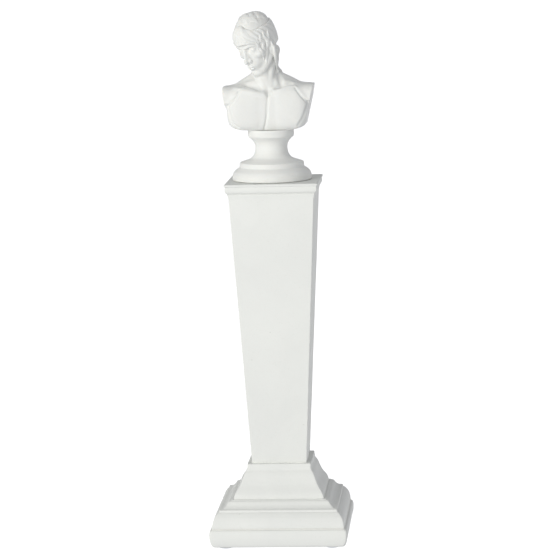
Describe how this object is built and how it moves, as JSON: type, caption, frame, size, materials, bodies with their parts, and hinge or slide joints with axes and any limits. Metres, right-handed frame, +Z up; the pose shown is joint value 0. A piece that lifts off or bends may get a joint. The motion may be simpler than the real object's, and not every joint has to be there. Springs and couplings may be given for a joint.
{
  "type": "marble bust on pedestal",
  "caption": "Small white stone portrait bust, head turned and bowed, on a turned socle and a tall square pedestal that widens upwards.",
  "frame": {"origin": "on the floor, under the middle of the plinth: the middle of the four feet's undersides", "axes": "+Z up along the pedestal, -Y out of the bust's chest, +X to the bust's left side, which is a viewer's right"},
  "size_m": [0.1528, 0.1528, 0.5889],
  "materials": {
    "pedestal_stone": "matte, fine pores",
    "bust_stone": "matte, rubbed smooth",
    "mortar": "matte, gritty",
    "steel": "zinc plated",
    "brass": "plain",
    "felt": "pressed felt",
    "foot_rubber": "satin, slightly see-through"
  },
  "bodies": {
    "pedestal": {"foot_front_left": "foot_rubber", "foot_front_right": "foot_rubber", "foot_back_left": "foot_rubber", "foot_back_right": "foot_rubber", "plinth": "pedestal_stone", "plinth_bed": "mortar", "base_moulding": "pedestal_stone", "base_neck": "pedestal_stone", "shaft": "pedestal_stone", "cap": "pedestal_stone", "tie_rod": "steel", "tie_washer_lower": "steel", "tie_nut_lower": "steel", "tie_washer_upper": "steel", "tie_nut_upper": "steel", "cap_dowel_left": "brass", "cap_dowel_right": "brass"},
    "felt": {"felt_disc": "felt"},
    "bust": {"socle": "bust_stone", "bust": "bust_stone", "bust_rod": "steel", "socle_washer": "steel", "socle_nut": "steel"}
  },
  "joints": [
    {"name": "bust_turn", "type": "hinge", "parent": "pedestal", "child": "felt", "pos_m": [-0.0018, 0, 0.4023], "axis": [0, 0, 1], "continuous": true},
    {"name": "bust_lift", "type": "slide", "parent": "felt", "child": "bust", "axis": [0, 0, 1], "range_m": [0, 0.06]}
  ]
}
